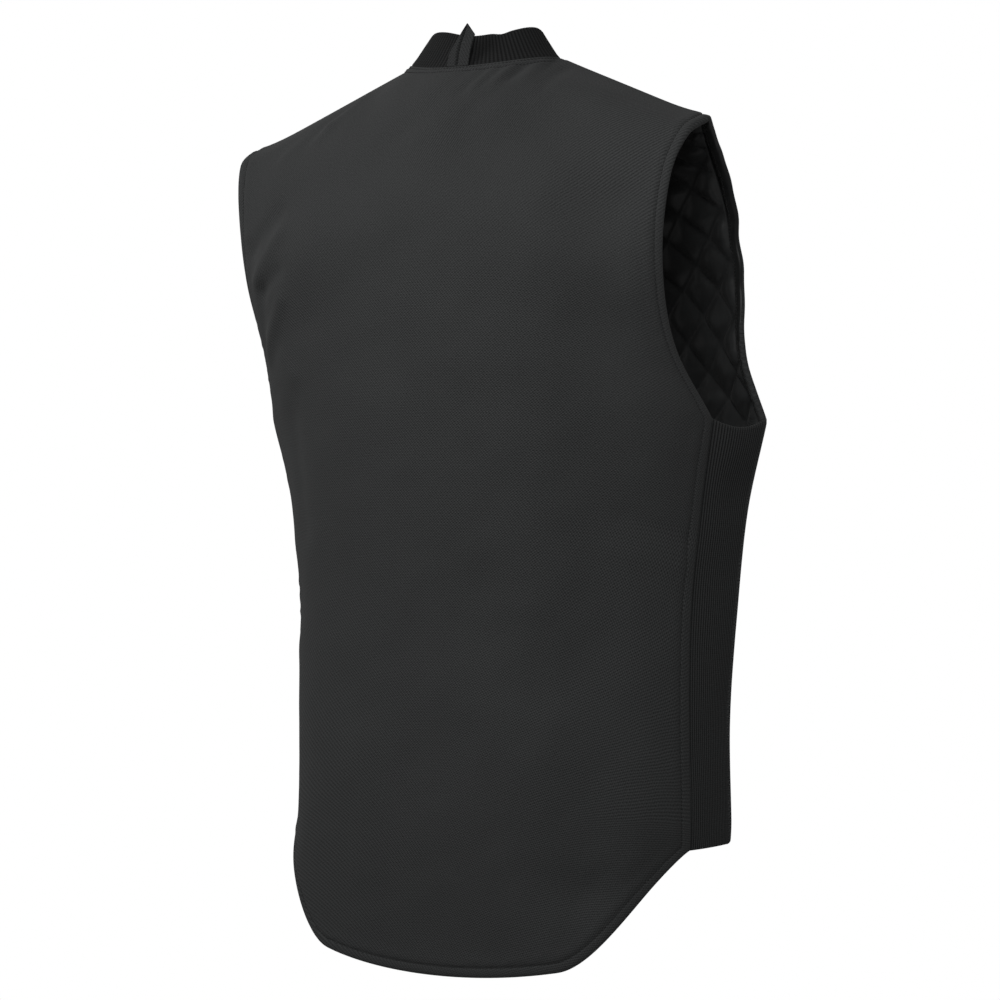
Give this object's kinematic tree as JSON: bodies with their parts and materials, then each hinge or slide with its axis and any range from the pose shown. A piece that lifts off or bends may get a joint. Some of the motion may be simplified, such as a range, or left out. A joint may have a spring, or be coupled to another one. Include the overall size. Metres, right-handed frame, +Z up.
{
  "type": "insulated work vest",
  "caption": "Sleeveless canvas work vest with rib knit collar and side panels, quilted satin lining, drop tail, hanger loop and zipped front, in its worn form.",
  "frame": {"origin": "on the wearer's body axis, level with the neck ends of the shoulder seams, where the vest sits on the shoulders", "axes": "+Z up, +Y to the wearer's back, +X to the wearer's left"},
  "size_m": [0.444, 0.2735, 0.7848],
  "materials": {
    "canvas": "matte charcoal duck canvas, lightly slubbed, topstitched edges",
    "rib_knit": "matte black rib knit",
    "quilted_satin": "black satin with a soft sheen, quilted in diamonds",
    "zip": "black zip tape and chain"
  },
  "bodies": {
    "root": {"back_panel": "canvas", "front_panel_left": "canvas", "front_panel_right": "canvas", "side_rib_left": "rib_knit", "side_rib_right": "rib_knit", "collar": "rib_knit", "hanger_loop": "canvas", "lining_back": "quilted_satin", "lining_front_left": "quilted_satin", "lining_front_right": "quilted_satin", "front_zip": "zip"}
  },
  "joints": []
}
